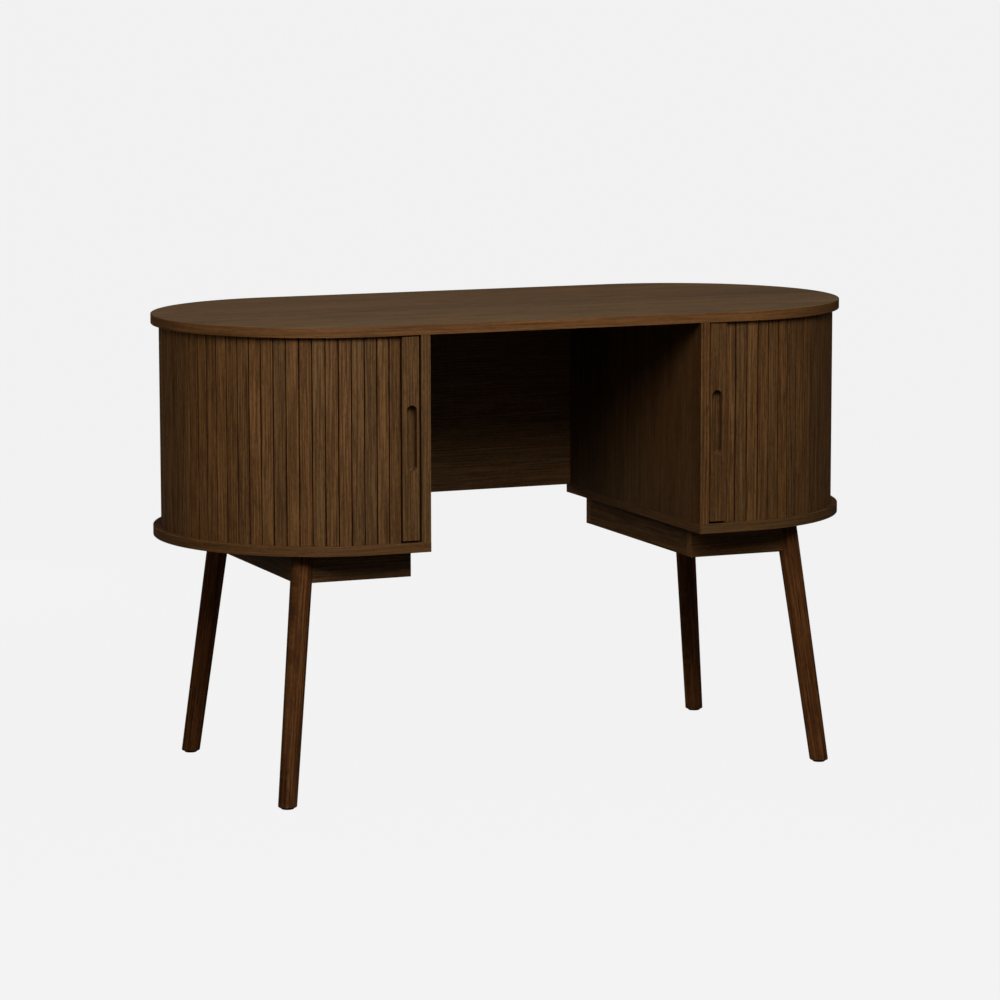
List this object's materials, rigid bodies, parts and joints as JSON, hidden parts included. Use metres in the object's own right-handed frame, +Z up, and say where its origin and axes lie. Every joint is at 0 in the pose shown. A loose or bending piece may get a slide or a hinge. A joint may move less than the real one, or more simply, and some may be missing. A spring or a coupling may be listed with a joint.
{
  "type": "desk",
  "caption": "Oval writing desk: round-ended pedestals with tambour doors either side of a knee space, on splayed tapered legs.",
  "frame": {"origin": "on the floor under the middle of the desk top", "axes": "+X along the desk, to the right of the person seated at the knee space; -Y the side that person sits at, where the door handles are, +Y the back; +Z up"},
  "size_m": [1.2, 0.56, 0.77],
  "materials": {
    "top_veneer": "dark walnut-stained oak veneer, satin lacquer, grain along the desk",
    "edge_veneer": "dark walnut-stained edge band, satin lacquer",
    "panel_veneer": "dark walnut-stained oak veneer, satin lacquer",
    "tambour_wood": "dark walnut-stained solid slats, grain upright, satin lacquer",
    "handle_wood": "dark walnut-stained solid wood, grain upright, satin lacquer",
    "plinth_wood": "dark walnut-stained solid wood, grain along each rail, satin lacquer",
    "leg_wood": "dark walnut-stained turned solid wood, satin lacquer",
    "bent_plywood": "dark stained bent plywood, grain upright, satin lacquer",
    "hidden_wood": "unstained hardwood, planed",
    "canvas": "glued cotton canvas",
    "glide_plastic": "black nylon",
    "cap_plastic": "dark brown moulded",
    "zinc_steel": "zinc plated"
  },
  "bodies": {
    "desk_frame": {"desk_top": "top_veneer", "desk_top_edge_band": "edge_veneer", "left_bottom_edge_band": "edge_veneer", "right_bottom_edge_band": "edge_veneer", "left_bottom_panel": "panel_veneer", "right_bottom_panel": "panel_veneer", "left_side_panel": "panel_veneer", "right_side_panel": "panel_veneer", "modesty_panel": "panel_veneer", "left_shelf": "panel_veneer", "right_shelf": "panel_veneer", "left_plinth_front_rail": "plinth_wood", "right_plinth_front_rail": "plinth_wood", "left_plinth_back_rail": "plinth_wood", "right_plinth_back_rail": "plinth_wood", "left_plinth_inner_rail": "plinth_wood", "right_plinth_inner_rail": "plinth_wood", "left_plinth_outer_rail": "plinth_wood", "right_plinth_outer_rail": "plinth_wood", "left_front_leg": "leg_wood", "right_front_leg": "leg_wood", "left_back_leg": "leg_wood", "right_back_leg": "leg_wood", "left_rear_shell": "bent_plywood", "right_rear_shell": "bent_plywood", "left_shell_batten": "hidden_wood", "right_shell_batten": "hidden_wood", "left_corner_blocks": "hidden_wood", "right_corner_blocks": "hidden_wood", "wood_dowels": "hidden_wood", "leg_glides": "glide_plastic", "cam_cover_caps": "cap_plastic", "leg_brackets": "zinc_steel", "bracket_screws": "zinc_steel", "hanger_bolts": "zinc_steel", "hanger_bolt_nuts": "zinc_steel", "glide_screws": "zinc_steel", "corner_block_screws": "zinc_steel", "batten_screws": "zinc_steel", "long_assembly_screws": "zinc_steel", "cam_dowels": "zinc_steel", "cam_locks": "zinc_steel", "shelf_pins": "zinc_steel"},
    "left_door": {"left_tambour_slats": "tambour_wood", "left_tail_batten": "hidden_wood", "left_handle_stile": "handle_wood", "left_tambour_canvas": "canvas", "left_canvas_clamp_strip": "hidden_wood", "left_clamp_screws": "zinc_steel"},
    "right_door": {"right_tambour_slats": "tambour_wood", "right_tail_batten": "hidden_wood", "right_handle_stile": "handle_wood", "right_tambour_canvas": "canvas", "right_canvas_clamp_strip": "hidden_wood", "right_clamp_screws": "zinc_steel"}
  },
  "joints": [
    {"name": "left_door_slide", "type": "hinge", "parent": "desk_frame", "child": "left_door", "pos_m": [-0.32, -0.003, 0.5875], "axis": [0, 0, -1], "range_deg": [0, 55]},
    {"name": "right_door_slide", "type": "hinge", "parent": "desk_frame", "child": "right_door", "pos_m": [0.32, -0.003, 0.5875], "axis": [0, 0, 1], "range_deg": [0, 55]}
  ]
}
